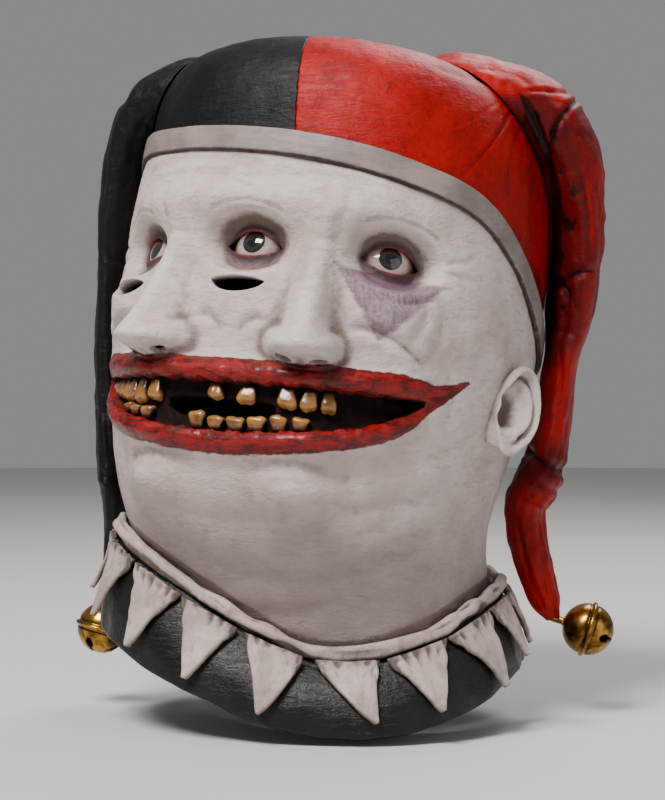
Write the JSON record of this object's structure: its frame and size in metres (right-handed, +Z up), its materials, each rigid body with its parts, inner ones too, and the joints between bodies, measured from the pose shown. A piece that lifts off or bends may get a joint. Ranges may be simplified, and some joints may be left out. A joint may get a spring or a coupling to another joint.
{
  "type": "jester mask",
  "caption": "Over-the-head latex jester mask: two fused clown faces sharing an eye and a wide toothy mouth, black and red cap with belled tails, pointed collar on a yoke",
  "frame": {"origin": "inside of the crown, where the top of the wearer's head bears", "axes": "-Y out of the middle of the two faces, +X the wearer's left, +Z up"},
  "size_m": [0.2847, 0.2683, 0.3614],
  "materials": {
    "face_latex": "matte painted latex skin, warm grey-white with dark wash in the creases",
    "band_latex": "matte grey painted latex",
    "black_latex": "satin black painted latex",
    "red_latex": "satin red painted latex with dark wash",
    "collar_latex": "matte off-white painted latex, stained",
    "tooth_enamel": "glossy golden-brown paint",
    "eye_resin": "clear-coated painted resin",
    "bell_brass": "polished, slightly tarnished brass"
  },
  "bodies": {
    "root": {"head_shell": "face_latex", "cap_band": "band_latex", "cap_black": "black_latex", "cap_red": "red_latex", "tail_black": "black_latex", "tail_red": "red_latex", "yoke": "black_latex", "collar_band": "collar_latex", "eye_right_face_outer": "eye_resin", "eye_shared": "eye_resin", "eye_left_face_outer": "eye_resin", "bell_red_side": "bell_brass", "bell_black_side": "bell_brass", "pellet_red_side": "bell_brass", "pellet_black_side": "bell_brass", "tooth_upper_01": "tooth_enamel", "tooth_upper_02": "tooth_enamel", "tooth_upper_03": "tooth_enamel", "tooth_upper_04": "tooth_enamel", "tooth_upper_05": "tooth_enamel", "tooth_upper_06": "tooth_enamel", "tooth_upper_07": "tooth_enamel", "tooth_upper_08": "tooth_enamel", "tooth_upper_09": "tooth_enamel", "tooth_upper_10": "tooth_enamel", "tooth_upper_11": "tooth_enamel", "tooth_upper_12": "tooth_enamel", "tooth_lower_13": "tooth_enamel", "tooth_lower_14": "tooth_enamel", "tooth_lower_15": "tooth_enamel", "tooth_lower_16": "tooth_enamel", "tooth_lower_17": "tooth_enamel", "tooth_lower_18": "tooth_enamel", "tooth_lower_19": "tooth_enamel", "tooth_lower_20": "tooth_enamel", "tooth_lower_21": "tooth_enamel", "collar_point_01": "collar_latex", "collar_point_02": "collar_latex", "collar_point_03": "collar_latex", "collar_point_04": "collar_latex", "collar_point_05": "collar_latex", "collar_point_06": "collar_latex", "collar_point_07": "collar_latex", "collar_point_08": "collar_latex", "collar_point_09": "collar_latex", "collar_point_10": "collar_latex", "collar_point_11": "collar_latex", "collar_point_12": "collar_latex", "collar_point_13": "collar_latex", "collar_point_14": "collar_latex", "collar_point_15": "collar_latex", "collar_point_16": "collar_latex", "collar_point_17": "collar_latex", "collar_point_18": "collar_latex"}
  },
  "joints": []
}
